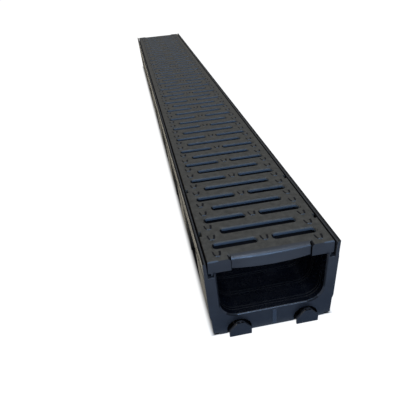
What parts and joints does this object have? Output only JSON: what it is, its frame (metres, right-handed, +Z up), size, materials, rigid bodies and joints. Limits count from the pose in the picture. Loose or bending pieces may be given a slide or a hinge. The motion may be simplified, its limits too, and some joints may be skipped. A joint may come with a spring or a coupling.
{
  "type": "linear drainage channel",
  "caption": "Linear surface-water drainage channel in moulded plastic with a slotted grating that drops in between its rims and end lugs for joining channels in a run.",
  "frame": {"origin": "middle of the channel's length and width, on the base plane it stands on", "axes": "+Y along the run from the lug end to the plain end, +X to the right seen from the lug end, +Z up"},
  "size_m": [0.112, 1.0054, 0.077],
  "materials": {
    "channel_body": "satin moulded black",
    "grating": "fine satin moulded black"
  },
  "bodies": {
    "root": {"channel_body": "channel_body", "grating": "grating"}
  },
  "joints": []
}
